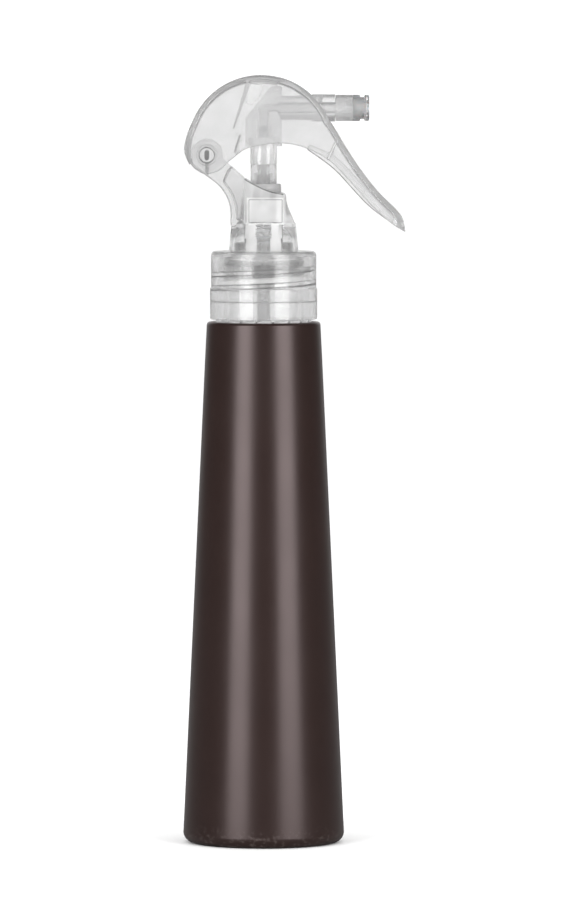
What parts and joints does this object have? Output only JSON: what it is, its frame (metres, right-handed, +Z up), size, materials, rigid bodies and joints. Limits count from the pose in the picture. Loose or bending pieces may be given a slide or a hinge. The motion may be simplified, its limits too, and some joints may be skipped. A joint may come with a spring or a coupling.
{
  "type": "spray bottle",
  "caption": "Tall tapered spray bottle with a clear screw-on mini trigger sprayer, hooked finger lever and short horizontal nozzle.",
  "frame": {"origin": "centre of the bottle's base, on the plane it stands on", "axes": "+Z up along the bottle's axis, +X the way the nozzle points at rest, +Y to the left of the nozzle"},
  "size_m": [0.069, 0.0502, 0.2389],
  "materials": {
    "bottle_brown": "satin dark brown lacquer over clear PET; the neck above the shoulder is bare and clear",
    "clear_shell": "clear injection-moulded plastic with a faint grey cast",
    "soft_seal": "milky soft polyethylene",
    "spring_steel": "drawn stainless steel",
    "natural_insert": "natural translucent polypropylene",
    "grey_insert": "mid grey plastic"
  },
  "bodies": {
    "bottle": {"bottle": "bottle_brown"},
    "gasket": {"neck_gasket": "soft_seal"},
    "closure": {"closure": "clear_shell"},
    "pump": {"pump_body": "clear_shell", "pump_cylinder": "clear_shell", "cylinder_collar": "clear_shell", "stem_seal": "soft_seal", "return_spring": "spring_steel", "ball_cage": "natural_insert", "dip_tube": "natural_insert"},
    "inlet_valve": {"inlet_ball": "spring_steel"},
    "trigger": {"trigger_lever": "clear_shell"},
    "plunger": {"piston_stem": "clear_shell", "piston_seal": "soft_seal", "spray_elbow": "clear_shell", "nozzle_cap": "clear_shell", "orifice_insert": "grey_insert", "swirl_core": "natural_insert", "outlet_spring": "spring_steel"},
    "outlet_valve": {"outlet_ball": "spring_steel"}
  },
  "joints": [
    {"name": "sprayer_lift", "type": "slide", "parent": "bottle", "child": "gasket", "axis": [0, 0, 1], "range_m": [0, 0.0053]},
    {"name": "closure_turn", "type": "hinge", "parent": "gasket", "child": "closure", "pos_m": [0, 0, 0.1737], "axis": [0, 0, 1], "range_deg": [0, 450]},
    {"name": "sprayer_swivel", "type": "hinge", "parent": "gasket", "child": "pump", "pos_m": [0, 0, 0.182], "axis": [0, 0, 1], "continuous": true},
    {"name": "trigger_pull", "type": "hinge", "parent": "pump", "child": "trigger", "pos_m": [-0.0176, 0, 0.2141], "axis": [0, 1, 0], "range_deg": [0, 20]},
    {"name": "plunger_stroke", "type": "slide", "parent": "pump", "child": "plunger", "axis": [0, 0, -1], "range_m": [0, 0.00594], "deforming": ["return_spring"]},
    {"name": "inlet_ball_lift", "type": "slide", "parent": "pump", "child": "inlet_valve", "axis": [0, 0, 1], "range_m": [0, 0.0006]},
    {"name": "outlet_ball_lift", "type": "slide", "parent": "plunger", "child": "outlet_valve", "axis": [0, 0, 1], "range_m": [0, 0.0006], "deforming": ["outlet_spring"]}
  ],
  "couplings": [
    {"joint": "sprayer_lift", "follows": "closure_turn", "m_per_rad": 0.0006737},
    {"joint": "plunger_stroke", "follows": "trigger_pull", "m_per_rad": 0.017}
  ]
}
